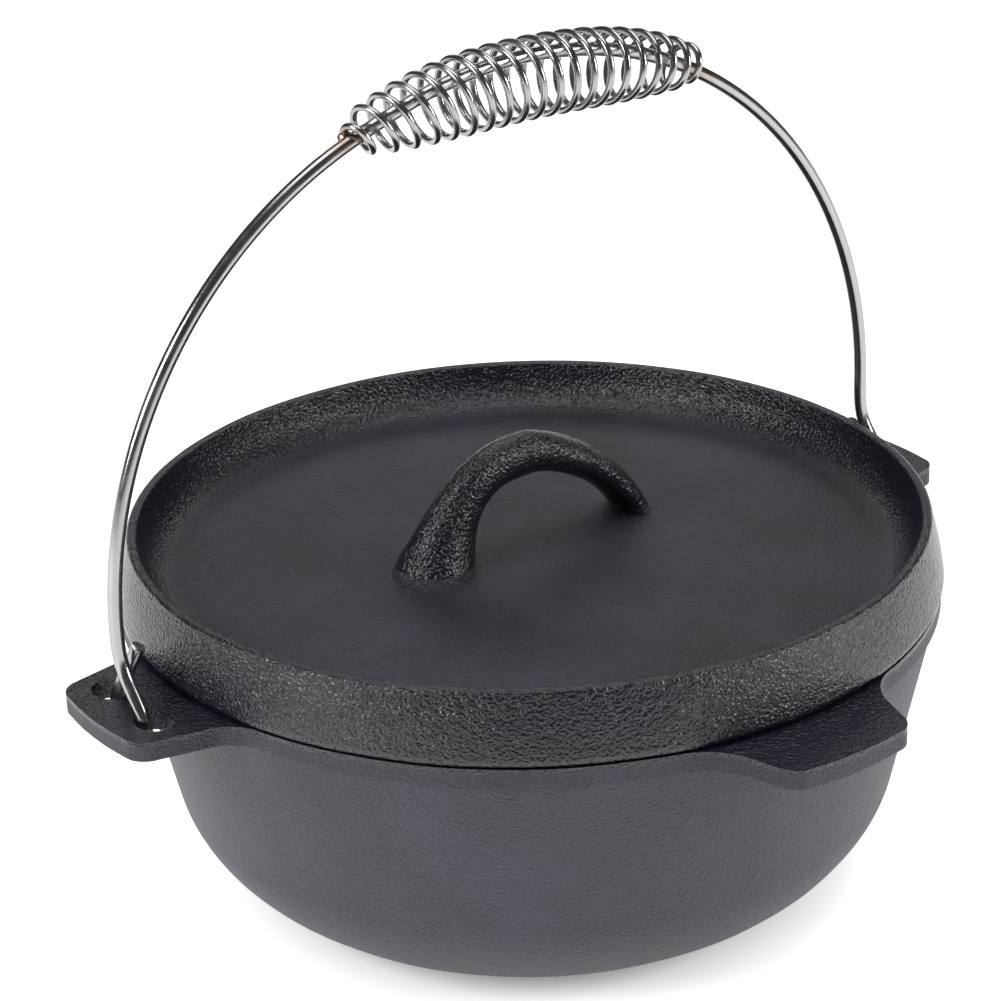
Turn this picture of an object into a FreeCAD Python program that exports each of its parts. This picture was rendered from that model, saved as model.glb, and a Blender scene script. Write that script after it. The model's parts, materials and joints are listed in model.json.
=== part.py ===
import FreeCAD, Part
import math
import os

# Cast iron dutch oven: a pot with two bail ears and two helper tabs, a flanged lid
# with a horn-shaped handle, and a swinging wire bail with a coiled wire grip.
# Millimetres. The origin is the centre of the pot's base, +Z is up, and X runs from
# ear to ear, along the axis that the bail swings about.

V = FreeCAD.Vector
Y_AXIS, Z_AXIS = V(0, 1, 0), V(0, 0, 1)
TINY = 1e-5

# Pot
POT_HEIGHT = 82.0            # floor to rim
RIM_RADIUS = 107.9           # outside of the rim band
RIM_BAND_HEIGHT = 5.1
RIM_BAND_PROUD = 0.9         # step from the band in to the wall under it
POT_WALL = 4.6               # square to the wall
POT_FLOOR = 5.0
WALL_DRAFT = 12.0            # degrees from upright
CORNER_RADIUS = 36.0         # from the wall into the bottom
BELLY_RADIUS = 105.0         # shallow curve from the corner to the flat base
BELLY_ANGLE = 12.5           # degrees of slope where the two curves meet
CAST_EDGE = 0.8              # rounding of cast edges

# Bail: one length of round rod in the plane y = 0, hooked round the web of each ear
BAIL_WIRE = 3.6
ARCH_MARGIN = 6.4            # the arch's two side arcs have this much less than the half span
CROWN_MARGIN = 105.0         # and the flatter curve between them has this much more
HOOK_LEAN = (2.5, -7.2)      # degrees that the hooks lean outwards, at -X and at +X
ARM_LEAN = (1.2, 0.8)        # the same for the feet of the arch, past the ankle bends
ANKLE_RADIUS = 40.0
HOOK_CLEARANCE = 1.2         # between the rod and the corners of the web
HOOK_OFFSET = 1.1            # the rod runs this far outside the middle of the holes
HOOK_LEAVE_ANGLE = 38.0      # where the arm leaves the hook's circle
HOOK_BEND_RADIUS = 15.0      # back to upright above the ear
HOOK_TILT = 9.5              # the free end leans in towards the lid
HOOK_END_LEAVE_ANGLE = 28.0
HOOK_END_LENGTH = (15.5, 9.5)    # straight free ends, at -X and at +X

# Ears, which carry the bail, and helper tabs: flat plates flush with the rim
PLATE_THICKNESS = 5.1
PLATE_NECK_RADIUS = 8.0
PLATE_CORNER_RADIUS = 6.0
PLATE_END_RADIUS = 90.0      # gentle bulge of the outer edge
PLATE_END_DROP = 1.8         # how far the corners stand back from the middle
TAB_LENGTH = 20.4            # out from the rim
TAB_END_HALF = 18.2          # half width at the outer edge
TAB_ROOT_HALF = 24.5         # half width where it meets the rim
EAR_WEB = 10.0               # iron left between an ear's two holes
EAR_MARGIN = 2.8             # iron beside the holes, at the outer edge
EAR_END_MARGIN = 6.7         # iron outside the holes
EAR_TAPER = 4.8              # how much wider an ear is at the rim, each side
HOLE_STANDOFF = 12.3         # rim to the middle of the bail holes
HOLE_END_SLACK = 5.6         # room for the rod to swing and slide across the ear
HOLE_SIDE_SLACK = 5.8        # room along the ear

# Lid
LID_HEIGHT = 18.4            # seat to the top of the coal rim
LID_OVERHANG = 1.0           # skirt beyond the pot's rim
LID_TAPER = 4.1              # the coal rim's top is this much inside the skirt
LID_SKIRT_BULGE = 0.5
LID_RIM_LAND = 2.5           # flat top of the coal rim
LID_BOTTOM_EDGE = 2.4        # rounding under the skirt
LID_EDGE = 0.7
TRAY_DEPTH = 12.6            # rim top down to the edge of the plate
TRAY_DRAFT = 2.6             # how much the wall closes in before its fillet
TRAY_FILLET = 9.5
PLATE_DOME = 2.9             # rise of the plate from its edge to its middle
LID_PLATE = 4.6
RING_DEPTH = 5.0             # locating ring that drops into the pot's mouth
RING_WIDTH = 4.0
RING_CLEARANCE = 1.0

# Lid handle, one casting with the lid. It stands along X, thick and flared at the
# -X foot and slimmer at the +X foot. Heights are from the top of the coal rim.
HANDLE_CROWN = 15.1
HANDLE_NEAR_SPAN = 30.4
HANDLE_FAR_SPAN = 34.9
HANDLE_NEAR_LEAN = (7.1, 21.4)    # pole of the curve, in and up from the foot
HANDLE_FAR_LEAN = (10.5, 21.7)
HANDLE_NEAR_SHOULDER = 16.0
HANDLE_FAR_SHOULDER = 3.0
CROWN_SECTION = (5.9, 5.2)        # half thickness up and down, half width across
NEAR_FOOT_SECTION = (11.8, 11.3)
FAR_FOOT_SECTION = (3.7, 7.6)
NEAR_FLARE_POWER = 4.5            # high, so that the flare stays near the plate
FAR_FLARE_POWER = 1.0
HANDLE_SINK = 2.0                 # how deep the feet run into the plate
HANDLE_STATIONS = 8               # sections in each half of the arch
SECTION_POINTS = 12

# Grip: a barrel-shaped coil of round wire over the crown of the bail
COIL_WIRE = 1.85
COIL_MAX_RADIUS = 9.6        # centre line, at the middle
COIL_END_RADIUS = 4.1        # the same, before the end turns close on the rod
COIL_HALF_LENGTH = 55.0
COIL_TURNS = 20
COIL_ROD_GAP = 0.15
COIL_BARREL_POWER = 3.2
COIL_MIDDLE = 0.8            # degrees from upright, round the +X arc, of the coil's middle
COIL_SAG = 5.6               # the coil's axis is this far inside the arch at its middle
COIL_END_RISE = 1.1          # and this far outside it at the ends, as springs stay straight
COIL_STEPS_PER_TURN = 14
COIL_END_TURNS = 0.75        # part of a turn that hugs the rod at each end
WELD_RADIUS = 1.9            # bead that tacks each end of the coil to the rod
WELD_INSET = 0.6             # bead's middle, in from the end of the coil

# Sizes that follow from the ones above
HOOK_RADIUS = math.hypot(EAR_WEB / 2, PLATE_THICKNESS / 2) + BAIL_WIRE / 2 + HOOK_CLEARANCE
HOLE_LENGTH = HOOK_RADIUS + BAIL_WIRE / 2 - EAR_WEB / 2 + HOLE_END_SLACK
HOLE_WIDTH = BAIL_WIRE + HOLE_SIDE_SLACK
HOLE_CENTRE_RADIUS = RIM_RADIUS + HOLE_STANDOFF
EAR_REACH = HOLE_CENTRE_RADIUS + HOLE_WIDTH / 2 + EAR_END_MARGIN
EAR_END_HALF = EAR_WEB / 2 + HOLE_LENGTH + EAR_MARGIN
EAR_ROOT_HALF = EAR_END_HALF + EAR_TAPER
TAB_REACH = RIM_RADIUS + TAB_LENGTH
BAIL_HALF_SPAN = HOLE_CENTRE_RADIUS + HOOK_OFFSET
ARCH_RADIUS = BAIL_HALF_SPAN - ARCH_MARGIN
CROWN_RADIUS = ARCH_RADIUS + CROWN_MARGIN
LID_SKIRT_RADIUS = RIM_RADIUS + LID_OVERHANG
LID_TOP_RADIUS = LID_SKIRT_RADIUS - LID_TAPER
PIVOT_HEIGHT = POT_HEIGHT - PLATE_THICKNESS / 2
LID_TOP = POT_HEIGHT + LID_HEIGHT


def radial(r, z):
    """A point in the half plane that is turned about the pot's axis."""
    return V(r, 0, z)


def turned(edges):
    """Turn a closed outline in the XZ plane about the pot's axis."""
    face = Part.Face(Part.Wire(edges))
    return face.revolve(V(0, 0, 0), Z_AXIS, 360)


def line(a, b):
    return Part.makeLine(a, b)


def arc(a, b, c):
    return Part.Arc(a, b, c).toShape()


def bowl_profile(top, wall_radius, base_z, corner, belly):
    """Edges from the middle of the base out and up the wall to the height top.

    wall_radius is the wall's radius at the height top."""
    draft, slope = math.radians(WALL_DRAFT), math.radians(BELLY_ANGLE)
    steep = math.pi / 2 - draft
    rise = belly * (1 - math.cos(slope)) + corner * (math.cos(slope) - math.cos(steep))
    corner_top = radial(wall_radius - (top - base_z - rise) * math.tan(draft), base_z + rise)
    corner_centre = corner_top + corner * V(-math.sin(steep), 0, math.cos(steep))

    def on_corner(angle):
        return corner_centre + corner * V(math.sin(angle), 0, -math.cos(angle))

    belly_centre = on_corner(slope) + belly * V(-math.sin(slope), 0, math.cos(slope))

    def on_belly(angle):
        return belly_centre + belly * V(math.sin(angle), 0, -math.cos(angle))

    return [line(radial(0, base_z), on_belly(0)),
            arc(on_belly(0), on_belly(slope / 2), on_belly(slope)),
            arc(on_corner(slope), on_corner((slope + steep) / 2), corner_top),
            line(corner_top, radial(wall_radius, top))]


def make_bowl(top, wall_radius, base_z, corner, belly):
    """A solid bowl shape, closed flat at the height top."""
    edges = bowl_profile(top, wall_radius, base_z, corner, belly)
    edges += [line(radial(wall_radius, top), radial(0, top)),
              line(radial(0, top), radial(0, base_z))]
    return turned(edges)


def wall_radius_at(z, offset=0.0):
    """Outside radius of the drafted wall, or of a surface offset inwards from it."""
    draft = math.radians(WALL_DRAFT)
    band_foot = POT_HEIGHT - RIM_BAND_HEIGHT
    outside = RIM_RADIUS - RIM_BAND_PROUD + (z - band_foot) * math.tan(draft)
    return outside - offset / math.cos(draft)


def plate_outline(reach, end_half, root_half):
    """Outline of an ear or tab along +X: concave necks that leave the rim circle
    smoothly, straight sides, rounded corners and a slightly bulging end."""
    root = V(math.sqrt(RIM_RADIUS ** 2 - root_half ** 2), root_half, 0)
    corner = V(reach - PLATE_END_DROP, end_half, 0)
    side = (corner - root).normalize()
    outward = V(-side.y, side.x, 0)
    # neck: tangent to the rim circle and to the side line
    neck = PLATE_NECK_RADIUS
    offset_point = root + neck * outward
    along = -offset_point.dot(side)
    reach_back = math.sqrt((RIM_RADIUS + neck) ** 2 - (offset_point + along * side).Length ** 2)
    centre = offset_point + (along - reach_back) * side
    on_rim = centre * (RIM_RADIUS / (RIM_RADIUS + neck))
    on_side = centre - neck * outward
    mid = centre + neck * ((on_rim + on_side) * 0.5 - centre).normalize()
    # corner: tangent to the side line and to the line to the middle of the end
    end_slope = math.atan2(PLATE_END_DROP, end_half)
    tip = V(reach + PLATE_END_RADIUS * (1 / math.cos(end_slope) - 1), 0, 0)
    end_dir = (tip - corner).normalize()
    half_turn = 0.5 * side.getAngle(end_dir)
    trim = PLATE_CORNER_RADIUS * math.tan(half_turn)
    c_in, c_out = corner - trim * side, corner + trim * end_dir
    bisector = (c_in + c_out) * 0.5 - corner
    sagitta = PLATE_CORNER_RADIUS * (1 / math.cos(half_turn) - 1)
    c_mid = corner + sagitta * bisector.normalize()
    upper = [(on_rim, mid, on_side), (on_side, c_in), (c_in, c_mid, c_out)]

    def mirrored(p):
        return V(p.x, -p.y, 0)

    e_in = tip - PLATE_END_RADIUS * math.tan(end_slope) * end_dir
    e_mid = V(reach, 0, 0)
    pieces = upper + [(c_out, e_in), (e_in, e_mid, mirrored(e_in)), (mirrored(e_in), mirrored(c_out))]
    pieces += [tuple(mirrored(p) for p in reversed(piece)) for piece in reversed(upper)]
    pieces.append((mirrored(on_rim), on_rim))
    return [line(*p) if len(p) == 2 else arc(*p) for p in pieces if (p[0] - p[-1]).Length > TINY]


def make_plate(reach, end_half, root_half):
    """A flat plate along +X, flush with the rim."""
    face = Part.Face(Part.Wire(plate_outline(reach, end_half, root_half)))
    face.translate(V(0, 0, POT_HEIGHT - PLATE_THICKNESS))
    return face.extrude(V(0, 0, PLATE_THICKNESS))


def ear_hole(side):
    """One oval hole through an ear, on the side +1 or -1 of its web."""
    half_l, half_w = HOLE_LENGTH / 2, HOLE_WIDTH / 2
    ellipse = Part.Ellipse(V(0, 0, 0), half_l, half_w).toShape()
    face = Part.Face(Part.Wire([ellipse]))
    face.rotate(V(0, 0, 0), Z_AXIS, 90)
    face.translate(V(HOLE_CENTRE_RADIUS, side * (EAR_WEB / 2 + half_l), POT_HEIGHT - 2 * PLATE_THICKNESS))
    return face.extrude(V(0, 0, 3 * PLATE_THICKNESS))


def make_pot():
    band_foot = POT_HEIGHT - RIM_BAND_HEIGHT
    body = make_bowl(POT_HEIGHT - CAST_EDGE, RIM_RADIUS - RIM_BAND_PROUD
                     + (RIM_BAND_HEIGHT - CAST_EDGE) * math.tan(math.radians(WALL_DRAFT)),
                     0, CORNER_RADIUS, BELLY_RADIUS)
    band = Part.makeCylinder(RIM_RADIUS, RIM_BAND_HEIGHT, V(0, 0, band_foot))
    body = body.common(Part.makeCylinder(RIM_RADIUS, POT_HEIGHT)).fuse(band)
    ear = make_plate(EAR_REACH, EAR_END_HALF, EAR_ROOT_HALF)
    for side in (1, -1):
        ear = ear.cut(ear_hole(side))
    tab = make_plate(TAB_REACH, TAB_END_HALF, TAB_ROOT_HALF)
    plates = []
    for plate, angles in ((ear, (0, 180)), (tab, (90, 270))):
        for angle in angles:
            copy = plate.copy()
            copy.rotate(V(0, 0, 0), Z_AXIS, angle)
            plates.append(copy)
    body = body.fuse(plates).removeSplitter()
    cavity = make_bowl(POT_HEIGHT + POT_WALL, wall_radius_at(POT_HEIGHT + POT_WALL, POT_WALL),
                       POT_FLOOR, CORNER_RADIUS - POT_WALL, BELLY_RADIUS - POT_FLOOR)
    body = body.cut(cavity)
    return rounded(body, outer_top_edges(body), CAST_EDGE)


def outer_top_edges(body):
    """The edges round the outside of the flat top, ears and tabs included."""
    top = max((f for f in body.Faces if abs(f.CenterOfMass.z - POT_HEIGHT) < TINY), key=lambda f: f.Area)
    return top.OuterWire.Edges


def rounded(body, edges, radius):
    return body.makeFillet(radius, edges)


def dome_points(edge):
    """Top and mid-slope points of a true spherical dome that starts at edge."""
    sphere = (edge.x ** 2 + PLATE_DOME ** 2) / (2 * PLATE_DOME)
    half_angle = math.asin(edge.x / sphere) / 2
    top = radial(0, edge.z + PLATE_DOME)
    return top, top + sphere * V(math.sin(half_angle), 0, math.cos(half_angle) - 1)


def make_lid_body():
    """The turned part of the lid: skirt, coal rim, tray, domed plate and ring."""
    seat, top = POT_HEIGHT, LID_TOP
    inner_top = LID_TOP_RADIUS - LID_RIM_LAND
    ring_top = wall_radius_at(seat, POT_WALL) - RING_CLEARANCE
    ring_foot = wall_radius_at(seat - RING_DEPTH, POT_WALL) - RING_CLEARANCE
    plate_z = top - TRAY_DEPTH
    # the tray's wall runs down to its fillet, and the fillet is tangent to the plate
    fillet_top = radial(inner_top - TRAY_DRAFT, plate_z + TRAY_FILLET)
    fillet_foot = radial(fillet_top.x - TRAY_FILLET, plate_z)
    k = TRAY_FILLET * math.sqrt(0.5)
    fillet_mid = radial(fillet_foot.x + k, plate_z + TRAY_FILLET - k)
    centre_top, plate_mid = dome_points(fillet_foot)
    under_edge = radial(ring_foot - RING_WIDTH, plate_z - LID_PLATE)
    centre_under, under_mid = dome_points(under_edge)
    skirt_foot = radial(LID_SKIRT_RADIUS, seat + LID_BOTTOM_EDGE)
    skirt_top = radial(LID_TOP_RADIUS, top - LID_EDGE)
    skirt_mid = (skirt_foot + skirt_top) * 0.5 + V(LID_SKIRT_BULGE, 0, 0)
    b = LID_BOTTOM_EDGE
    bottom_mid = radial(LID_SKIRT_RADIUS - b * (1 - math.sqrt(0.5)), seat + b * (1 - math.sqrt(0.5)))
    bottom_in = radial(LID_SKIRT_RADIUS - b, seat)
    e = LID_EDGE * (1 - math.sqrt(0.5))
    edges = [
        arc(centre_top, plate_mid, fillet_foot),
        arc(fillet_foot, fillet_mid, fillet_top),
        line(fillet_top, radial(inner_top, top - LID_EDGE)),
        arc(radial(inner_top, top - LID_EDGE), radial(inner_top + e, top - e),
            radial(inner_top + LID_EDGE, top)),
        line(radial(inner_top + LID_EDGE, top), radial(LID_TOP_RADIUS - LID_EDGE, top)),
        arc(radial(LID_TOP_RADIUS - LID_EDGE, top), radial(LID_TOP_RADIUS - e, top - e), skirt_top),
        arc(skirt_top, skirt_mid, skirt_foot),
        arc(skirt_foot, bottom_mid, bottom_in),
        line(bottom_in, radial(ring_top, seat)),
        line(radial(ring_top, seat), radial(ring_foot, seat - RING_DEPTH)),
        line(radial(ring_foot, seat - RING_DEPTH), radial(ring_foot - RING_WIDTH, seat - RING_DEPTH)),
        line(radial(ring_foot - RING_WIDTH, seat - RING_DEPTH), under_edge),
        arc(under_edge, under_mid, centre_under),
        line(centre_under, centre_top)]
    return turned(edges)


def handle_sections():
    """Ellipses along the handle's arch, from the thick foot to the slim one."""
    foot_z = -(TRAY_DEPTH - PLATE_DOME) - HANDLE_SINK
    arches = (
        (-1, HANDLE_NEAR_SPAN, HANDLE_NEAR_LEAN, HANDLE_NEAR_SHOULDER, NEAR_FOOT_SECTION, NEAR_FLARE_POWER),
        (1, HANDLE_FAR_SPAN, HANDLE_FAR_LEAN, HANDLE_FAR_SHOULDER, FAR_FOOT_SECTION, FAR_FLARE_POWER))
    halves = []
    for side, span, lean, shoulder, foot, power in arches:
        curve = Part.BezierCurve()
        curve.setPoles([V(0, 0, HANDLE_CROWN), V(side * shoulder, 0, HANDLE_CROWN),
                        V(side * (span - lean[0]), 0, foot_z + lean[1]), V(side * span, 0, foot_z)])
        half = []
        for i in range(0 if side > 0 else 1, HANDLE_STATIONS + 1):
            t = i / HANDLE_STATIONS
            share = t ** power
            up = CROWN_SECTION[0] + (foot[0] - CROWN_SECTION[0]) * share
            across = CROWN_SECTION[1] + (foot[1] - CROWN_SECTION[1]) * share
            heading = curve.tangent(t)[0] * side if i < HANDLE_STATIONS else V(0, 0, -side)
            half.append((curve.value(t), heading, up, across))
        halves.append(half)
    return list(reversed(halves[0])) + halves[1]


def make_handle():
    wires = []
    for centre, tangent, up, across in handle_sections():
        normal = V(-tangent.z, 0, tangent.x).normalize()
        ring = [centre + up * math.cos(a) * normal + across * math.sin(a) * Y_AXIS
                for a in (2 * math.pi * k / SECTION_POINTS for k in range(SECTION_POINTS))]
        curve = Part.BSplineCurve()
        curve.interpolate(ring, PeriodicFlag=True)
        wires.append(Part.Wire([curve.toShape()]))
    solid = Part.makeLoft(wires, True, False)
    solid.translate(V(0, 0, LID_TOP))
    return solid


def make_lid():
    """The whole lid: turned casting with the handle grown out of its plate."""
    return make_lid_body().fuse(make_handle())


def arch_foot(side):
    """The ankle bend above one hook, and the way in to the pot's axis at its top.

    Returns the bend's start, middle and end, and a unit vector square to the rod."""
    end = 0 if side < 0 else 1
    hook, arm = math.radians(HOOK_LEAN[end]), math.radians(ARM_LEAN[end])

    def inwards(lean):
        return V(-side * math.cos(lean), 0, math.sin(lean))

    start = hook_bottom(side) + (HOOK_RADIUS + hook_rise()) * hook_up(side)
    radius = math.copysign(ANKLE_RADIUS, hook - arm)
    centre = start + radius * inwards(hook)
    return (start, centre - radius * inwards((hook + arm) / 2), centre - radius * inwards(arm),
            inwards(arm))


def arch_centres():
    """Centres of the arch's -X side arc, flat crown curve and +X side arc. Each side arc
    goes on smoothly from its foot, and the crown curve is tangent to both."""
    left, left_in = arch_foot(-1)[2:]
    right, right_in = arch_foot(1)[2:]
    left_centre, right_centre = left + ARCH_RADIUS * left_in, right + ARCH_RADIUS * right_in
    half_gap = (right_centre - left_centre) * 0.5
    square = V(half_gap.z, 0, -half_gap.x).normalize()
    off = math.sqrt(CROWN_MARGIN ** 2 - half_gap.dot(half_gap))
    return left_centre, left_centre + half_gap + off * square, right_centre


def angle_of(way):
    """Angle from upright, positive towards +X."""
    return math.atan2(way.x, way.z)


def arch_joints():
    """Angles from upright where the crown curve meets the two side arcs."""
    left_centre, crown_centre, right_centre = arch_centres()
    return angle_of(left_centre - crown_centre), angle_of(right_centre - crown_centre)


def on_circle(centre, radius, angle):
    return centre + radius * V(math.sin(angle), 0, math.cos(angle))


def arch_point(s):
    """Point of the arch at the length s past the second joint, and the way out there."""
    left_centre, crown_centre, right_centre = arch_centres()
    first, second = arch_joints()
    crown_length = CROWN_RADIUS * (second - first)
    if s > 0:
        centre, radius, angle = right_centre, ARCH_RADIUS, second + s / ARCH_RADIUS
    elif s > -crown_length:
        centre, radius, angle = crown_centre, CROWN_RADIUS, second + s / CROWN_RADIUS
    else:
        centre, radius, angle = left_centre, ARCH_RADIUS, first + (s + crown_length) / ARCH_RADIUS
    return on_circle(centre, radius, angle), V(math.sin(angle), 0, math.cos(angle))


def arch_path():
    """Edges from the top of the -X hook over the crown to the top of the +X hook."""
    left_start, left_mid, left_end, _ = arch_foot(-1)
    right_start, right_mid, right_end, _ = arch_foot(1)
    left_centre, crown_centre, right_centre = arch_centres()
    first, second = arch_joints()
    left_foot, right_foot = angle_of(left_end - left_centre), angle_of(right_end - right_centre)

    def bow(centre, radius, a, b):
        return arc(*(on_circle(centre, radius, angle) for angle in (a, (a + b) / 2, b)))

    return [arc(left_start, left_mid, left_end),
            bow(left_centre, ARCH_RADIUS, left_foot, first),
            bow(crown_centre, CROWN_RADIUS, first, second),
            bow(right_centre, ARCH_RADIUS, second, right_foot),
            arc(right_end, right_mid, right_start)]


def hook_bottom(side):
    return V(side * BAIL_HALF_SPAN, 0, -HOOK_RADIUS)


def hook_up(side):
    """The way up in the leaning plane of the hook's main half."""
    lean = math.radians(HOOK_LEAN[0 if side < 0 else 1])
    return V(side * math.sin(lean), 0, math.cos(lean))


def hook_rise():
    """How far above the pivot, along the hook's lean, the rod is back over the ear."""
    leave = math.radians(HOOK_LEAVE_ANGLE)
    run = hook_run()
    return (HOOK_RADIUS + HOOK_BEND_RADIUS) * math.sin(leave) + run * math.cos(leave)


def hook_run():
    """Straight length between the hook's circle and the bend above it."""
    leave = math.radians(HOOK_LEAVE_ANGLE)
    return (HOOK_RADIUS * math.cos(leave) - HOOK_BEND_RADIUS * (1 - math.cos(leave))) / math.sin(leave)


def hook_path(side):
    """Edges from the ankle down round under the ear's web to the free end."""
    leave, end_leave = math.radians(HOOK_LEAVE_ANGLE), math.radians(HOOK_END_LEAVE_ANGLE)
    bottom, up = hook_bottom(side), hook_up(side)
    centre = bottom + HOOK_RADIUS * up

    def on_arm(angle):
        """On the hook's circle, angle up from level on the -Y side."""
        return centre + HOOK_RADIUS * (math.sin(angle) * up - math.cos(angle) * Y_AXIS)

    top = centre + hook_rise() * up
    bend_centre = top - HOOK_BEND_RADIUS * Y_AXIS

    def on_bend(angle):
        return bend_centre + HOOK_BEND_RADIUS * (math.cos(angle) * Y_AXIS - math.sin(angle) * up)

    edges = [arc(top, on_bend(leave / 2), on_bend(leave)), line(on_bend(leave), on_arm(leave)),
             arc(on_arm(leave), on_arm((leave - math.pi / 2) / 2), bottom)]
    # the second half of the hook leans in towards the pot
    tilt = math.radians(HOOK_TILT)
    end_up = V(-side * math.sin(tilt), 0, math.cos(tilt))
    end_centre = bottom + HOOK_RADIUS * end_up

    def on_end(angle):
        """On the leaning half circle, angle up from level on the +Y side."""
        return end_centre + HOOK_RADIUS * (math.cos(angle) * Y_AXIS + math.sin(angle) * end_up)

    edges.append(arc(bottom, on_end((end_leave - math.pi / 2) / 2), on_end(end_leave)))
    heading = math.cos(end_leave) * end_up - math.sin(end_leave) * Y_AXIS
    edges.append(line(on_end(end_leave), on_end(end_leave) + HOOK_END_LENGTH[0 if side < 0 else 1] * heading))
    return edges


def swept(edges, radius):
    """A round bar along a path of edges that follow each other."""
    path = Part.Wire(edges)
    first = path.OrderedEdges[0]
    start = first.valueAt(first.FirstParameter)
    heading = first.tangentAt(first.FirstParameter)
    section = Part.Wire([Part.Circle(start, heading, radius).toShape()])
    return path.makePipeShell([section], True, False)


def make_bail_wire():
    left = hook_path(-1)
    right = hook_path(1)
    edges = list(reversed(left)) + arch_path() + right
    ordered = Part.sortEdges(edges)[0]
    wire = swept(ordered, BAIL_WIRE / 2)
    wire.translate(V(0, 0, PIVOT_HEIGHT))
    return wire


def coil_points():
    """Centre line of the coil: turns about the rod, wide in the middle, whose first and
    last turns close down on the rod."""
    hug = BAIL_WIRE / 2 + COIL_WIRE / 2 + COIL_ROD_GAP
    count = COIL_TURNS * COIL_STEPS_PER_TURN
    middle = (math.radians(COIL_MIDDLE) - arch_joints()[1]) * ARCH_RADIUS
    points = []
    for i in range(count + 1):
        turn = i / COIL_STEPS_PER_TURN
        along = -1 + 2 * i / count
        opened = min(1.0, min(turn, COIL_TURNS - turn) / COIL_END_TURNS)
        barrel = 1 - abs(along) ** COIL_BARREL_POWER
        full = COIL_END_RADIUS + (COIL_MAX_RADIUS - COIL_END_RADIUS) * barrel
        rise = COIL_END_RISE - (COIL_END_RISE + COIL_SAG) * (1 - along ** 2)
        radius = hug + (full - hug) * opened
        rod, out = arch_point(middle + along * COIL_HALF_LENGTH)
        angle = 2 * math.pi * turn
        round_rod = math.cos(angle) * Y_AXIS + math.sin(angle) * out
        points.append(rod + opened * rise * out + radius * round_rod)
    return points


def make_weld(end):
    """A bead that buries one end of the coil in the rod's surface, end 0 or -1."""
    points = coil_points()
    tip, beyond = points[end], points[1] if end == 0 else points[-2]
    near = Part.Wire(arch_path()).distToShape(Part.Vertex(tip))[1][0][0]
    to_rod, to_coil = (near - tip).normalize(), (beyond - tip).normalize()
    centre = tip + COIL_WIRE / 2 * to_rod + WELD_INSET * to_coil
    return Part.makeSphere(WELD_RADIUS, centre + V(0, 0, PIVOT_HEIGHT))


def make_coil():
    points = coil_points()
    curve = Part.BSplineCurve()
    curve.interpolate(points)
    spans = COIL_TURNS * 2
    first, last = curve.FirstParameter, curve.LastParameter
    knots = [curve.parameter(points[round(i * (len(points) - 1) / spans)]) for i in range(spans + 1)]
    knots[0], knots[-1] = first, last
    edges = [curve.toShape(a, b) for a, b in zip(knots, knots[1:])]
    coil = swept(edges, COIL_WIRE / 2)
    coil.translate(V(0, 0, PIVOT_HEIGHT))
    return coil


os.makedirs("parts", exist_ok=True)
nodes = {
    "pot": make_pot(),
    "lid": make_lid(),
    "bail_wire": make_bail_wire(),
    "coil_grip": make_coil(),
    "tack_weld_left": make_weld(0),
    "tack_weld_right": make_weld(-1)}
for name, shape in nodes.items():
    solid = shape.Solids[0]
    solid.exportStep("parts/" + name + ".step")
    print(name, "solids", len(shape.Solids), "valid", solid.isValid(),
          "volume cm3", round(solid.Volume / 1000, 3))
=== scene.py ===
import json
import math
import bmesh
import bpy
from mathutils import Matrix, Vector, noise
from mathutils.geometry import interpolate_bezier


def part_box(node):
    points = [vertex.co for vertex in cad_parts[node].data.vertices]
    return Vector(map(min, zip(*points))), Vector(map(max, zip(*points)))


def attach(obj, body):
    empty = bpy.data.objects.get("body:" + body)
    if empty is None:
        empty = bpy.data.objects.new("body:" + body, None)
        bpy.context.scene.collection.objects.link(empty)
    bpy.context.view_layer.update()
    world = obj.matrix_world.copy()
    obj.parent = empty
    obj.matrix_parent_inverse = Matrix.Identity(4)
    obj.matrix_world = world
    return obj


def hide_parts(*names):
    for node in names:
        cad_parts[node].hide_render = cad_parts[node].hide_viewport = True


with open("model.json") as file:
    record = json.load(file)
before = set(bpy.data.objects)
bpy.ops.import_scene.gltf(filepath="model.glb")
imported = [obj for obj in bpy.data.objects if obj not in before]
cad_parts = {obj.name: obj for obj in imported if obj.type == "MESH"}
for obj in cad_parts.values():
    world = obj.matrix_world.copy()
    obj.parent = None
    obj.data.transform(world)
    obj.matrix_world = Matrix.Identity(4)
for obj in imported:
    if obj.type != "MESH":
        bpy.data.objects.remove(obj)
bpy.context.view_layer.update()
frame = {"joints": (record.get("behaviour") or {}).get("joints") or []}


# ---------------------------------------------------------------- camera
# Seen by someone standing at the table: a little above the rim and off to the left of
# the near tab, with a long lens that keeps the rim a calm ellipse.
camera_aim = Vector((-0.00586, 0.00415, 0.10200))
camera_distance = 0.73817
camera_turn = [math.radians(a) for a in (65.95436, 1.74475, -36.10833)]
camera = bpy.data.objects.new("camera", bpy.data.cameras.new("camera"))
camera.data.sensor_width = 36.0
camera.data.lens = 101.266
camera.rotation_euler = camera_turn
camera.location = camera_aim + camera.rotation_euler.to_matrix() @ Vector((0, 0, camera_distance))
bpy.context.scene.collection.objects.link(camera)
bpy.context.scene.camera = camera


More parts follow.
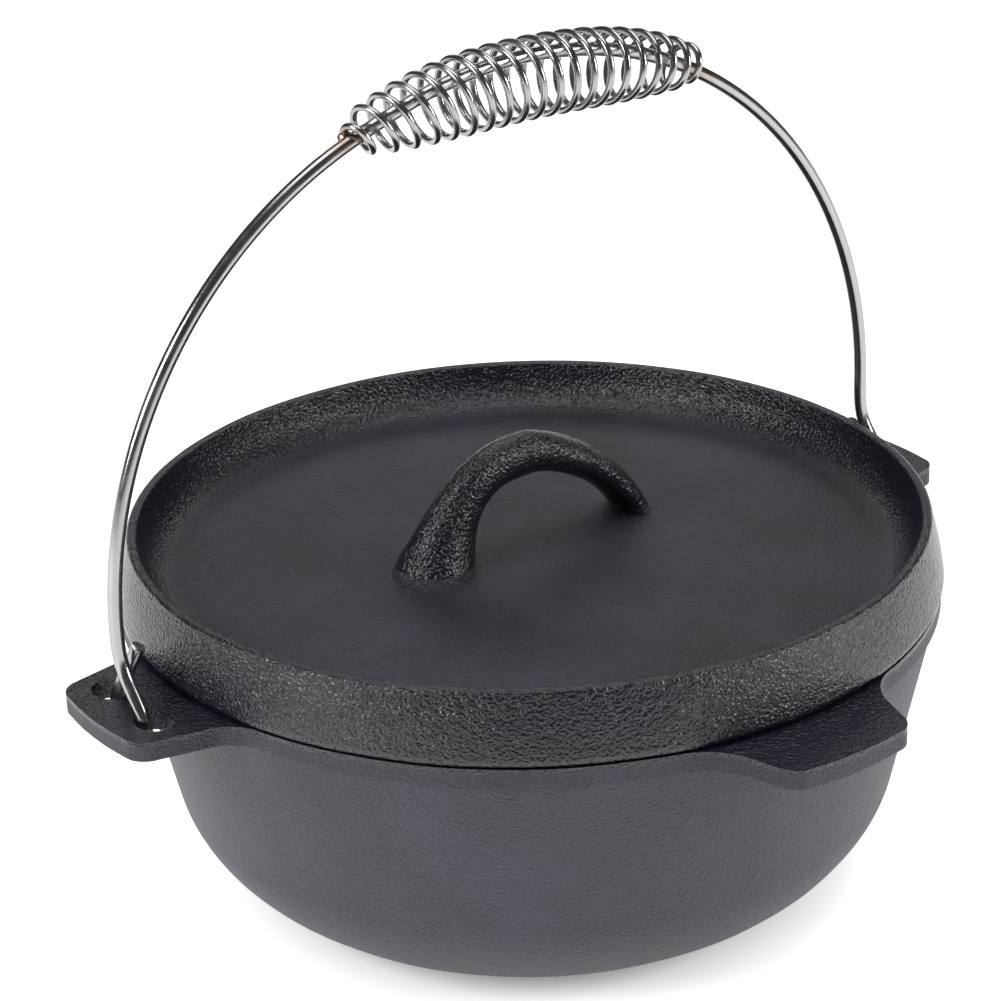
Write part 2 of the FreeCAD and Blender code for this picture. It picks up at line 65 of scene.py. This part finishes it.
# ---------------------------------------------------------------- pot
# The pot is one sand casting in grey iron: a round-bottomed bowl with a rim flange, and
# two bail ears and two helper tabs that run out of the flange. Only the mouth is ground;
# the rest keeps the grain of the sand under a baked-on coat of oil.
pot_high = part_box("pot")[1]
rim_height = pot_high.z
flange_depth = 0.0051
tab_length = 0.0204
rim_radius = pot_high.y - tab_length
band_proud = 0.0009
wall = 0.0046
floor_thickness = 0.005
draft = math.radians(12.0)
belly_slope = math.radians(12.5)
corner_rounding = 0.036
belly_rounding = 0.105
plate_corner_rounding = 0.006
plate_end_rounding = 0.090
plate_end_drop = 0.0018
ear_half_widths = (0.0188, 0.0236)     # at the outer edge, at the rim
tab_half_widths = (0.0182, 0.0245)
ear_neck_angle = math.radians(16.2)    # where the rim's circle leaves the plate's neck
tab_neck_angle = math.radians(17.4)
ear_web = 0.010
hole_half = (0.0047, 0.0055)           # along the ear, across it
hole_inset = 0.0114                    # middle of the holes, in from the ear's end
cast_rounding = 0.0008
turning_steps = 256
corner_steps = 40                       # along a quarter of the rim, and round a hole
mould_wander, wander_size = 0.00015, 0.022


def chain(bm, corners):
    """Vertices joined one after another through corners of (place, rounding)."""
    verts = [bm.verts.new(place) for place, _ in corners]
    for a, b in zip(verts, verts[1:]):
        bm.edges.new((a, b))
    offsets = {}
    for before, vert, after, (_, rounding) in zip(verts, verts[1:], verts[2:], corners[1:]):
        turn = math.pi - (before.co - vert.co).angle(after.co - vert.co)
        offsets[vert] = (rounding * math.tan(turn / 2), 3 + int(turn / math.radians(4)))
    for vert, (offset, segments) in offsets.items():
        if offset > 0:
            bmesh.ops.bevel(bm, geom=[vert], offset=offset, offset_type="OFFSET", affect="VERTICES",
                            segments=segments, profile=0.5, material=-1)
    return verts[0], verts[-1]


def turn_profile(bm, corners):
    """A wire through (radius, height, rounding) corners, turned about the pot's axis."""
    wire = bmesh.new()
    chain(wire, [(Vector((r, 0, z)), rounding) for r, z, rounding in corners])
    spun = bpy.data.meshes.new("profile")
    bmesh.ops.spin(wire, geom=wire.verts[:] + wire.edges[:], cent=(0, 0, 0), axis=(0, 0, 1),
                   angle=math.tau, steps=turning_steps, use_merge=True)
    wire.to_mesh(spun)
    wire.free()
    bm.from_mesh(spun)
    bpy.data.meshes.remove(spun)


def bowl_corners(top, top_radius, base, corner, belly):
    """Profile of a drafted wall that curves into the bottom in two radii."""
    steep = math.pi / 2 - draft
    run_wall = corner * math.tan((steep - belly_slope) / 2)
    run_base = belly * math.tan(belly_slope / 2)
    low = base + (run_wall + run_base) * math.sin(belly_slope)
    low_radius = top_radius - (top - low) * math.tan(draft)
    base_radius = low_radius - (run_wall + run_base) * math.cos(belly_slope)
    return [(top_radius, top, 0), (low_radius, low, corner), (base_radius, base, belly), (0, base, 0)]


def plate_corners(reach, half_widths, neck_angle):
    """Half the outline of an ear or tab along +X, from its tip to the rim's circle."""
    end_half, root_half = half_widths
    corner = Vector((reach - plate_end_drop, end_half, 0))
    tip = Vector((reach + plate_end_rounding * (math.hypot(1, plate_end_drop / end_half) - 1), 0, 0))
    root = Vector((math.sqrt(rim_radius ** 2 - root_half ** 2), root_half, 0))
    side = root - corner
    out = Vector((math.cos(neck_angle), math.sin(neck_angle), 0))
    neck = corner + side * (rim_radius - out.dot(corner)) / out.dot(side)
    start = out * rim_radius
    turn = math.pi - (corner - neck).angle(start - neck)
    neck_rounding = (start - neck).length / math.tan(turn / 2)
    return [(tip, 0), (corner, plate_corner_rounding), (neck, neck_rounding), (start, 0)]


def flange_outline(bm):
    """The outside of the flange: one quadrant, mirrored twice."""
    ear = plate_corners(pot_high.x, ear_half_widths, ear_neck_angle)
    tab = [(place.yxz, rounding) for place, rounding in
           plate_corners(pot_high.y, tab_half_widths, tab_neck_angle)]
    chain(bm, ear)
    chain(bm, tab)
    bmesh.ops.remove_doubles(bm, verts=bm.verts, dist=1e-6)
    start = min(bm.verts, key=lambda v: (v.co - ear[-1][0]).length)
    quarter = math.pi / 2 - ear_neck_angle - tab_neck_angle
    bmesh.ops.spin(bm, geom=[start], cent=(0, 0, 0), axis=(0, 0, 1), angle=quarter, steps=corner_steps)
    for axis in "YX":
        bmesh.ops.mirror(bm, geom=bm.verts[:] + bm.edges[:], axis=axis, merge_dist=1e-6)
        bmesh.ops.remove_doubles(bm, verts=bm.verts, dist=1e-6)
    for tip in [v for v in bm.verts if min(abs(v.co.x), abs(v.co.y)) < 1e-6]:
        bmesh.ops.bevel(bm, geom=[tip], offset=plate_end_rounding * plate_end_drop / ear_half_widths[0],
                        offset_type="OFFSET", affect="VERTICES", segments=4, profile=0.5, material=-1)


def finished(bm, name, smooth_angle=30):
    """The mesh becomes an object, with merged seams and outward faces."""
    bmesh.ops.remove_doubles(bm, verts=bm.verts, dist=1e-6)
    bmesh.ops.dissolve_degenerate(bm, edges=bm.edges, dist=1e-7)
    bmesh.ops.recalc_face_normals(bm, faces=bm.faces)
    mesh = bpy.data.meshes.new(name)
    bm.to_mesh(mesh)
    bm.free()
    mesh.shade_smooth()
    mesh.set_sharp_from_angle(angle=math.radians(smooth_angle))
    piece = bpy.data.objects.new(name, mesh)
    bpy.context.scene.collection.objects.link(piece)
    return piece


def uneven(bm, amount, size):
    """The slight wander of a surface that a sand mould leaves."""
    for vert in bm.verts:
        vert.co += amount * noise.noise_vector(vert.co / size)


def soft_edges(piece, width, segments=3):
    bevel = piece.modifiers.new("cast edges", "BEVEL")
    bevel.width = width
    bevel.segments = segments
    bevel.limit_method = "ANGLE"
    bevel.angle_limit = math.radians(35)
    bevel.harden_normals = True


bm = bmesh.new()
flange_outline(bm)
hole_x = pot_high.x - hole_inset
for side_x in (1, -1):
    for side_y in (1, -1):
        place = Matrix.Translation((side_x * hole_x, side_y * (ear_web / 2 + hole_half[1]), 0))
        bmesh.ops.create_circle(bm, segments=corner_steps, radius=1,
                                matrix=place @ Matrix.Diagonal((*hole_half, 1, 1)))
bmesh.ops.translate(bm, verts=bm.verts, vec=(0, 0, rim_height))
walls = bmesh.ops.extrude_edge_only(bm, edges=bm.edges)["geom"]
bmesh.ops.translate(bm, verts=[g for g in walls if isinstance(g, bmesh.types.BMVert)],
                    vec=(0, 0, -flange_depth))
band_foot = rim_height - flange_depth
wall_radius = rim_radius - band_proud
turn_profile(bm, bowl_corners(band_foot, wall_radius, 0, corner_rounding, belly_rounding))
mouth_radius = wall_radius + flange_depth * math.tan(draft) - wall / math.cos(draft)
turn_profile(bm, bowl_corners(rim_height, mouth_radius, floor_thickness,
                              corner_rounding - wall, belly_rounding - floor_thickness))
bmesh.ops.remove_doubles(bm, verts=bm.verts, dist=1e-6)
for height in (rim_height, band_foot):
    rings = [e for e in bm.edges if e.is_boundary and all(abs(v.co.z - height) < 1e-6 for v in e.verts)]
    bmesh.ops.triangle_fill(bm, edges=rings, use_beauty=True)
uneven(bm, mould_wander, wander_size)
pot = finished(bm, "pot_casting")
soft_edges(pot, cast_rounding)


def tree_of(name):
    """A new material and a short way to add and join its nodes."""
    material = bpy.data.materials.new(name)
    material.use_nodes = True
    material.node_tree.nodes.clear()

    def add(kind, settings=None, **inputs):
        made = material.node_tree.nodes.new("ShaderNode" + kind)
        for key, value in (settings or {}).items():
            setattr(made, key, value)
        for key, value in inputs.items():
            socket = made.inputs[int(key[1:])] if key[0] == "i" and key[1:].isdigit() else \
                made.inputs[key.replace("_", " ")]
            if isinstance(value, bpy.types.NodeSocket):
                material.node_tree.links.new(value, socket)
            else:
                socket.default_value = value
        return made

    return material, add


def ramp(add, value, low, high, to_low=0.0, to_high=1.0):
    """A smooth step of value from low to high, given as to_low to to_high."""
    made = add("MapRange", {"interpolation_type": "SMOOTHSTEP"}, Value=value, From_Min=low, From_Max=high,
               To_Min=to_low, To_Max=to_high)
    return made.outputs[0]


def sums(add, kind, a, b):
    return add("Math", {"operation": kind}, i0=a, i1=b).outputs[0]


def seasoned_iron(name, dark, light, polish):
    """Oil-blackened cast iron. polish(add, place) gives 0 where the coat is dull and dry
    and 1 where it is wet-looking, and returns that mask."""
    grain_scale, pebble_scale, swell_scale, blotch_scale = 1300.0, 1200.0, 130.0, 26.0   # per metre
    material, add = tree_of(name)
    place = add("TexCoord").outputs["Object"]
    shine = polish(add, place)
    grain = add("TexNoise", Vector=place, Scale=grain_scale, Detail=2.0, Roughness=0.6).outputs["Fac"]
    pebble = add("TexNoise", Vector=place, Scale=pebble_scale, Detail=1.0, Roughness=0.5).outputs["Fac"]
    swell = add("TexNoise", Vector=place, Scale=swell_scale, Detail=2.0, Roughness=0.5).outputs["Fac"]
    blotch = add("TexNoise", Vector=place, Scale=blotch_scale, Detail=4.0, Roughness=0.6).outputs["Fac"]
    fine = add("Bump", Strength=1.0, Distance=ramp(add, shine, 0, 1, 0.0008, 0.0003), Height=grain)
    lumps = add("Bump", Strength=ramp(add, shine, 0, 1, 0.45, 0.70), Distance=0.0007, Height=pebble,
                Normal=fine.outputs[0])
    coarse = add("Bump", Strength=0.08, Distance=0.0012, Height=swell, Normal=lumps.outputs[0])
    tone = sums(add, "ADD", sums(add, "MULTIPLY", blotch, 0.55), sums(add, "MULTIPLY", grain, 0.55))
    worn = sums(add, "MULTIPLY", ramp(add, tone, 0.40, 0.72), ramp(add, shine, 0, 1, 1.0, 0.15))
    colour = add("Mix", {"data_type": "RGBA"}, Factor=worn)
    colour.inputs["A"].default_value = (*dark, 1)
    colour.inputs["B"].default_value = (*light, 1)
    rough = sums(add, "ADD", ramp(add, shine, 0, 1, 0.44, 0.10), sums(add, "MULTIPLY", blotch, 0.12))
    shader = add("BsdfPrincipled", Base_Color=colour.outputs["Result"], Roughness=rough,
                 Normal=coarse.outputs[0], IOR=1.5, Specular_IOR_Level=0.55)
    add("OutputMaterial", Surface=shader.outputs[0])
    return material


def pot_polish(add, place):
    """Shiny on the flange's top and edges, dull on the bowl."""
    z = add("SeparateXYZ", Vector=place).outputs["Z"]
    return ramp(add, z, rim_height - 0.0018, rim_height - 0.0006)


pot_dark, pot_light = (0.007, 0.009, 0.015), (0.022, 0.028, 0.043)
pot.data.materials.append(seasoned_iron("pot iron", pot_dark, pot_light, pot_polish))
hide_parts("pot")
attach(pot, "pot")


# ---------------------------------------------------------------- lid
# The lid is a second casting: a domed plate with a tall coal rim round it, a skirt that
# laps the pot's rim, a locating ring below, and a horn-shaped handle grown out of the
# plate. It lies loose on the pot and lifts straight off.
lid_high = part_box("lid")[1]
crown_top = 0.021                       # top of the handle above the coal rim
lid_top = lid_high.z - crown_top
skirt_radius = lid_high.x
lid_taper = 0.0041
rim_land = 0.0025
tray_depth = 0.0126
tray_draft = 0.0026
tray_rounding = 0.0095
plate_dome = 0.0029
plate_thickness = 0.0046
ring_depth = 0.005
ring_width = 0.004
ring_clearance = 0.001
ring_rounding = 0.0006
skirt_rounding = 0.0024
edge_rounding = 0.0009
skirt_bulge = 0.0005
skirt_bend = 0.06                       # radius of the skirt's slight bulge

plate_edge = lid_top - tray_depth
top_radius = skirt_radius - lid_taper
inner_radius = top_radius - rim_land
fillet_foot = inner_radius - tray_draft
dome_radius = (fillet_foot ** 2 + plate_dome ** 2) / (2 * plate_dome)
dome_ease = 0.003                       # keeps the dome's bend clear of the fillet
dome_share, under_share = 0.93, 0.90    # of the full dome, for the same reason
ring_radius = mouth_radius - ring_clearance
ring_inner = ring_radius - ring_depth * math.tan(draft) - ring_width
under_edge = plate_edge - plate_thickness
under_radius = (ring_inner ** 2 + plate_dome ** 2) / (2 * plate_dome)
bm = bmesh.new()
turn_profile(bm, [
    (0, plate_edge + plate_dome, 0),
    (fillet_foot / 2 - dome_ease, plate_edge + plate_dome, dome_radius * dome_share),
    (fillet_foot, plate_edge, tray_rounding),
    (inner_radius, lid_top, edge_rounding),
    (top_radius, lid_top, edge_rounding),
    ((top_radius + skirt_radius) / 2 + skirt_bulge, (lid_top + rim_height) / 2, skirt_bend),
    (skirt_radius, rim_height, skirt_rounding),
    (ring_radius, rim_height, 0),
    (ring_radius - ring_depth * math.tan(draft), rim_height - ring_depth, ring_rounding),
    (ring_inner, rim_height - ring_depth, ring_rounding),
    (ring_inner, under_edge, ring_rounding),
    (ring_inner / 2, under_edge + plate_dome, under_radius * under_share),
    (0, under_edge + plate_dome, 0)])
uneven(bm, mould_wander, wander_size)
lid = finished(bm, "lid_casting", 40)

crown_line = 0.0151                     # the handle's middle over the coal rim, at its crown
foot_sink = 0.002                       # how deep the feet run into the plate
crown_height = lid_top + crown_line
foot_height = plate_edge + plate_dome - foot_sink
near_span, far_span = 0.0304, 0.0349
near_lean, far_lean = (0.0071, 0.0214), (0.0105, 0.0217)
near_shoulder, far_shoulder = 0.016, 0.003
crown_half = (0.0059, 0.0052)           # up and down, across
near_foot_half, far_foot_half = (0.0118, 0.0113), (0.0037, 0.0076)
near_flare, far_flare = 4.5, 1.0
leg_stations = 22
ring_points = 32
handle_wander, handle_wander_size = 0.0002, 0.012


def handle_leg(bm, side, span, lean, shoulder, foot_half, flare):
    """Rings from the crown down to the foot on one side, bridged one to the next."""
    poles = [(0, crown_height), (side * shoulder, crown_height),
             (side * (span - lean[0]), foot_height + lean[1]), (side * span, foot_height)]
    poles = [Vector((x, 0, z)) for x, z in poles]
    path = interpolate_bezier(*poles, leg_stations + 1)
    headings = [(b - a).normalized() for a, b in zip(path, path[1:])]
    headings = [Vector((side, 0, 0))] + \
        [(a + b).normalized() for a, b in zip(headings, headings[1:])] + [Vector((0, 0, -1))]
    last = None
    for i, (centre, heading) in enumerate(zip(path, headings)):
        share = (i / leg_stations) ** flare
        up = crown_half[0] + (foot_half[0] - crown_half[0]) * share
        across = crown_half[1] + (foot_half[1] - crown_half[1]) * share
        normal = Vector((-heading.z, 0, heading.x)) * side
        columns = Matrix((normal * up, Vector((0, across, 0)), heading)).transposed().to_4x4()
        ring = bmesh.ops.create_circle(bm, segments=ring_points, radius=1,
                                       matrix=Matrix.Translation(centre) @ columns)["verts"]
        edges = list({e for v in ring for e in v.link_edges if e.is_wire})
        if last:
            bmesh.ops.bridge_loops(bm, edges=last + edges)
        last = edges
    bmesh.ops.edgeloop_fill(bm, edges=last)


bm = bmesh.new()
handle_leg(bm, -1, near_span, near_lean, near_shoulder, near_foot_half, near_flare)
handle_leg(bm, 1, far_span, far_lean, far_shoulder, far_foot_half, far_flare)
uneven(bm, handle_wander, handle_wander_size)
handle = finished(bm, "handle_casting", 60)
join = lid.modifiers.new("handle", "BOOLEAN")
join.operation = "UNION"
join.solver = "EXACT"
join.object = handle
united = bpy.data.meshes.new_from_object(lid.evaluated_get(bpy.context.evaluated_depsgraph_get()))
lid.modifiers.clear()
lid.data = united
bpy.data.objects.remove(handle)
united.set_sharp_from_angle(angle=math.radians(50))


def lid_polish(add, place):
    """Shiny on the coal rim, the skirt and the handle, dull on the plate."""
    split = add("SeparateXYZ", Vector=place)
    flat = add("CombineXYZ", X=split.outputs["X"], Y=split.outputs["Y"], Z=0.0).outputs[0]
    radius = add("VectorMath", {"operation": "LENGTH"}, i0=flat).outputs["Value"]
    rim = ramp(add, radius, inner_radius - 0.011, inner_radius - 0.003)
    horn = ramp(add, split.outputs["Z"], plate_edge + plate_dome + 0.0004, plate_edge + plate_dome + 0.003)
    middle = ramp(add, radius, 0.050, 0.060, 1.0, 0.0)
    return sums(add, "MAXIMUM", rim, sums(add, "MULTIPLY", horn, middle))


lid_dark, lid_light = (0.005, 0.006, 0.010), (0.020, 0.025, 0.039)
lid.data.materials.append(seasoned_iron("lid iron", lid_dark, lid_light, lid_polish))
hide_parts("lid")
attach(lid, "lid")


# ---------------------------------------------------------------- bail
# The bail is one length of drawn stainless rod, bent by hand over a former: two sides,
# a flatter crown between them, and at each end a hook that passes down one hole of the
# ear, under the web and up through the other. It hangs a little askew.
rod = 0.0018                            # half the rod's thickness
swing = next(j for j in frame["joints"] if j["name"] == "bail_swing")
pivot = swing["pos_m"][2]
rod_outside = 0.0011                    # the rod's place, outside the middle of the holes
side_less = 0.0064                      # the sides' radius, under the half span
half_span = hole_x + rod_outside
side_bend = half_span - side_less
crown_more = 0.105                      # the crown's radius, beyond that of the sides
crown_bend = side_bend + crown_more
ankle_bend = 0.040
hook_lean = {-1: math.radians(2.5), 1: math.radians(-7.2)}     # outwards, at each side
arm_lean = {-1: math.radians(1.2), 1: math.radians(0.8)}
hook_clearance = 0.0012                 # between the rod and the corners of the web
hook_bend = math.hypot(ear_web / 2, flange_depth / 2) + rod + hook_clearance
hook_leave = math.radians(38.0)
arm_bend = 0.015
hook_tilt = math.radians(9.5)
end_leave = math.radians(28.0)
end_length = {-1: 0.0155, 1: 0.0095}
cut_rounding = 0.00025                  # of the rod's cut ends
rod_points = 36
bend_step = 0.0018                      # length of rod between two sections of a bend
level = Vector((0, 1, 0))

hook_run = (hook_bend * math.cos(hook_leave) - arm_bend * (1 - math.cos(hook_leave))) / math.sin(hook_leave)
hook_rise = (hook_bend + arm_bend) * math.sin(hook_leave) + hook_run * math.cos(hook_leave)


def outwards(angle):
    """The way out from a bend's middle, angle from upright towards +X."""
    return Vector((math.sin(angle), 0, math.cos(angle)))


def foot(side):
    """The bottom of one hook, its way up, its top, and the middles of the two bends above."""
    bottom = Vector((side * half_span, 0, pivot - hook_bend))
    up = outwards(side * hook_lean[side])
    top = bottom + (hook_bend + hook_rise) * up
    radius = math.copysign(ankle_bend, hook_lean[side] - arm_lean[side])
    ankle = top - radius * outwards(side * (math.pi / 2 + hook_lean[side]))
    side_middle = ankle + (radius - side_bend) * outwards(side * (math.pi / 2 + arm_lean[side]))
    return bottom, up, top, ankle, side_middle


feet = {side: foot(side) for side in (-1, 1)}
left_middle, right_middle = feet[-1][-1], feet[1][-1]
half_gap = (right_middle - left_middle) / 2
crown_middle = left_middle + half_gap + Vector((half_gap.z, 0, -half_gap.x)).normalized() * \
    math.sqrt(crown_more ** 2 - half_gap.length_squared)
joints = [middle - crown_middle for middle in (left_middle, right_middle)]
first, second = (math.atan2(way.x, way.z) for way in joints)


def bend(bm, ring, centre, axis, angle, radius):
    """The rod goes on from ring round a bend."""
    spun = bmesh.ops.spin(bm, geom=ring, cent=centre, axis=axis, angle=angle,
                          steps=max(3, round(abs(angle) * radius / bend_step)))
    return [g for g in spun["geom_last"] if isinstance(g, bmesh.types.BMEdge)]


def run_on(bm, ring, way):
    """The rod goes on straight from ring."""
    grown = bmesh.ops.extrude_edge_only(bm, edges=ring)["geom"]
    bmesh.ops.translate(bm, verts=[g for g in grown if isinstance(g, bmesh.types.BMVert)], vec=way)
    return [g for g in grown if isinstance(g, bmesh.types.BMEdge) and g.is_boundary]


bm = bmesh.new()
start = Matrix.Translation(right_middle + side_bend * outwards(second)) @ \
    Matrix.Rotation(math.pi / 2 + second, 4, "Y")
for side, (bottom, up, top, ankle, side_middle) in feet.items():
    circle = bmesh.ops.create_circle(bm, segments=rod_points, radius=rod, matrix=start)["verts"]
    ring = list({edge for vert in circle for edge in vert.link_edges})
    if side < 0:
        ring = bend(bm, ring, crown_middle, level, first - second, crown_bend)
    joint = first if side < 0 else second
    ring = bend(bm, ring, side_middle, level, side * (math.pi / 2 + arm_lean[side]) - joint, side_bend)
    ring = bend(bm, ring, ankle, level, side * (hook_lean[side] - arm_lean[side]), ankle_bend)
    ring = bend(bm, ring, top - arm_bend * level, up.cross(level), hook_leave, arm_bend)
    ring = run_on(bm, ring, (-math.sin(hook_leave) * level - math.cos(hook_leave) * up) * hook_run)
    ring = bend(bm, ring, bottom + hook_bend * up, level.cross(up), hook_leave + math.pi / 2, hook_bend)
    end_up = outwards(-side * hook_tilt)
    ring = bend(bm, ring, bottom + hook_bend * end_up, level.cross(end_up),
                end_leave + math.pi / 2, hook_bend)
    heading = math.cos(end_leave) * end_up - math.sin(end_leave) * level
    ring = run_on(bm, ring, heading * end_length[side])
    bmesh.ops.edgeloop_fill(bm, edges=ring)
    bmesh.ops.bevel(bm, geom=ring, offset=cut_rounding, offset_type="OFFSET", affect="EDGES", segments=2,
                    profile=0.5, material=-1)
bail = finished(bm, "bail_rod", 40)


bright_steel, heated_steel = (0.37, 0.365, 0.36), (0.22, 0.14, 0.09)
rod_tint, grip_tint = 0.009, 0.007      # how far the heat of a weld has coloured them


def stainless(name, tints, tint_size):
    """Bright drawn stainless, straw and brown where a weld has heated it."""
    material, add = tree_of(name)
    place = add("TexCoord").outputs["Object"]
    smudge = add("TexNoise", Vector=place, Scale=140.0, Detail=4.0, Roughness=0.6).outputs["Fac"]
    scratch = add("TexNoise", Vector=place, Scale=1800.0, Detail=2.0, Roughness=0.5).outputs["Fac"]
    heat = 0.0
    for centre in tints:
        reach = add("VectorMath", {"operation": "DISTANCE"}, i0=place, i1=centre).outputs["Value"]
        spot = ramp(add, reach, tint_size * 0.25, tint_size, 1.0, 0.0)
        heat = sums(add, "MAXIMUM", spot, heat)
    heat = sums(add, "MULTIPLY", heat, ramp(add, smudge, 0.3, 0.6, 0.3, 0.85))
    colour = add("Mix", {"data_type": "RGBA"}, Factor=heat)
    colour.inputs["A"].default_value = (*bright_steel, 1)
    colour.inputs["B"].default_value = (*heated_steel, 1)
    rough = ramp(add, smudge, 0.3, 0.7, 0.15, 0.26)
    bump = add("Bump", Strength=0.12, Distance=0.0001, Height=scratch)
    shader = add("BsdfPrincipled", Base_Color=colour.outputs["Result"], Roughness=rough, Metallic=1.0,
                 Normal=bump.outputs[0])
    add("OutputMaterial", Surface=shader.outputs[0])
    return material


welds = {name: sum(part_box(name), Vector()) / 2 for name in ("tack_weld_left", "tack_weld_right")}
bail.data.materials.append(stainless("rod steel", welds.values(), rod_tint))
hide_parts("bail_wire")
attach(bail, "bail")


# ---------------------------------------------------------------- grip
# The grip is a spring: thinner stainless wire wound over the crown in a long barrel, so
# that air keeps it cool. Its first and last turns close down on to the rod.
coil_wire = 0.000925
coil_widest = 0.0096                    # to the wire's middle
coil_end = 0.0041                       # the same, next to the end turns
coil_half_length = 0.055
coil_turns = 20
coil_gap = 0.00015
coil_end_turns = 0.75
barrel_power = 3.2
coil_sag = 0.0056                       # inside the rod's curve at the coil's middle
coil_end_rise = 0.0011                  # outside it at the ends
coil_aside = math.radians(0.8)          # its middle, past upright
coil_middle = (coil_aside - second) * side_bend
steps_per_turn = 40


def along_rod(s):
    """Place on the rod's middle, s past the second joint of its arch, and the way out there."""
    crown_length = crown_bend * (second - first)
    if s > 0:
        centre, radius, angle = right_middle, side_bend, second + s / side_bend
    elif s > -crown_length:
        centre, radius, angle = crown_middle, crown_bend, second + s / crown_bend
    else:
        centre, radius, angle = left_middle, side_bend, first + (s + crown_length) / side_bend
    return centre + radius * outwards(angle), outwards(angle)


hug = rod + coil_wire + coil_gap
curve = bpy.data.curves.new("grip_coil", "CURVE")
curve.dimensions = "3D"
curve.bevel_depth = coil_wire
curve.bevel_resolution = 6
curve.use_fill_caps = True
spline = curve.splines.new("POLY")
count = coil_turns * steps_per_turn
spline.points.add(count)
for i in range(count + 1):
    turn = i / steps_per_turn
    along = 2 * i / count - 1
    opened = min(1.0, min(turn, coil_turns - turn) / coil_end_turns)
    full = coil_end + (coil_widest - coil_end) * (1 - abs(along) ** barrel_power)
    rise = coil_end_rise - (coil_end_rise + coil_sag) * (1 - along ** 2)
    radius = hug + (full - hug) * opened
    place, out = along_rod(coil_middle + along * coil_half_length)
    angle = math.tau * turn
    place += opened * rise * out + radius * (math.cos(angle) * level + math.sin(angle) * out)
    spline.points[i].co = (*place, 1)
wound = bpy.data.objects.new("wound", curve)
grip_mesh = bpy.data.meshes.new_from_object(wound)
bpy.data.objects.remove(wound)
bm = bmesh.new()
bm.from_mesh(grip_mesh)
grip = finished(bm, "grip_coil", 40)
grip.data.materials.append(stainless("grip steel", welds.values(), grip_tint))
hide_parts("coil_grip")
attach(grip, "bail")


# ---------------------------------------------------------------- tack welds
# A small bead of filler at each end of the coil holds it to the rod. The beads are
# lumpy and left as welded, brown and blue from the heat.
bead = 0.0019
bead_wander, bead_wander_size = 0.0003, 0.0016


def weld_steel():
    material, add = tree_of("weld steel")
    place = add("TexCoord").outputs["Object"]
    bands = add("TexNoise", Vector=place, Scale=700.0, Detail=3.0, Roughness=0.6).outputs["Fac"]
    colour = add("ValToRGB", Fac=bands)
    stops = colour.color_ramp.elements
    stops[0].position, stops[0].color = 0.35, (0.10, 0.055, 0.035, 1)
    stops[1].position, stops[1].color = 0.70, (0.42, 0.34, 0.28, 1)
    bump = add("Bump", Strength=0.5, Distance=0.0003, Height=bands)
    shader = add("BsdfPrincipled", Base_Color=colour.outputs["Color"], Metallic=1.0,
                 Roughness=ramp(add, bands, 0.3, 0.7, 0.25, 0.5), Normal=bump.outputs[0])
    add("OutputMaterial", Surface=shader.outputs[0])
    return material


bead_steel = weld_steel()
for name, centre in welds.items():
    bm = bmesh.new()
    bmesh.ops.create_icosphere(bm, subdivisions=4, radius=bead, matrix=Matrix.Translation(centre))
    uneven(bm, bead_wander, bead_wander_size)
    weld = finished(bm, name + "_bead", 60)
    weld.data.materials.append(bead_steel)
    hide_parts(name)
    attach(weld, "bail")


# ---------------------------------------------------------------- floor and light
# A white table whose surface glows with painted light: the glow is painted dark under the pot as a contact
# shadow and brighter in a ring round it, and is even beyond. Softboxes stand left, right and behind, under
# a broad overhead light.
bm = bmesh.new()
table_half = 6.0
bmesh.ops.create_grid(bm, x_segments=1, y_segments=1, size=table_half)
table = finished(bm, "table")
material, add = tree_of("table white, painted glow and shadow")
flat = add("TexCoord").outputs["Object"]
reach = add("VectorMath", {"operation": "LENGTH"}, i0=flat).outputs["Value"]
# painted contact shadow: the table's glow is nil under the pot and rises to its full by 0.104 m out
glow_with_painted_shadow = ramp(add, reach, 0.050, 0.104, 0.0, 0.86)
# painted pool of light: the glow drops past 0.14 m, which leaves a brighter ring round the pot
painted_ring_falloff = ramp(add, reach, 0.14, 0.22, 0.0, 0.27)
painted_glow_and_shadow = sums(add, "SUBTRACT", glow_with_painted_shadow, painted_ring_falloff)
# the table glows as painted light, with a painted shadow under the pot and a painted bright ring round it
shader = add("BsdfPrincipled", Base_Color=(0.86, 0.86, 0.86, 1), Roughness=0.6,
             Emission_Color=(1, 1, 1, 1), Emission_Strength=painted_glow_and_shadow)
add("OutputMaterial", Surface=shader.outputs[0])
table.data.materials.append(material)


def lamp(name, kind, place, aim, energy, **settings):
    light = bpy.data.lights.new(name, kind)
    light.energy = energy
    for key, value in settings.items():
        setattr(light, key, value)
    holder = bpy.data.objects.new(name, light)
    holder.location = place
    holder.rotation_euler = (Vector(aim) - Vector(place)).to_track_quat("-Z", "Y").to_euler()
    bpy.context.scene.collection.objects.link(holder)


middle = (0, 0, 0.09)
lamp("overhead", "SUN", (0.1, 0.1, 2.0), middle, 1.3, angle=math.radians(45))
lamp("softbox_left", "AREA", (-0.98, 0.10, 0.60), middle, 9.0, shape="RECTANGLE", size=0.26, size_y=0.50)
lamp("softbox_right", "AREA", (0.62, -0.85, 0.50), middle, 7.0, shape="RECTANGLE", size=0.20, size_y=0.45)
lamp("softbox_back", "AREA", (0.75, 0.95, 0.75), middle, 3.0, shape="RECTANGLE", size=1.2, size_y=0.35)

world = bpy.data.worlds.new("studio")
world.use_nodes = True
world.node_tree.nodes["Background"].inputs["Color"].default_value = (1, 1, 1, 1)
world.node_tree.nodes["Background"].inputs["Strength"].default_value = 0.08
bpy.context.scene.world = world
bpy.context.scene.view_settings.view_transform = "Standard"
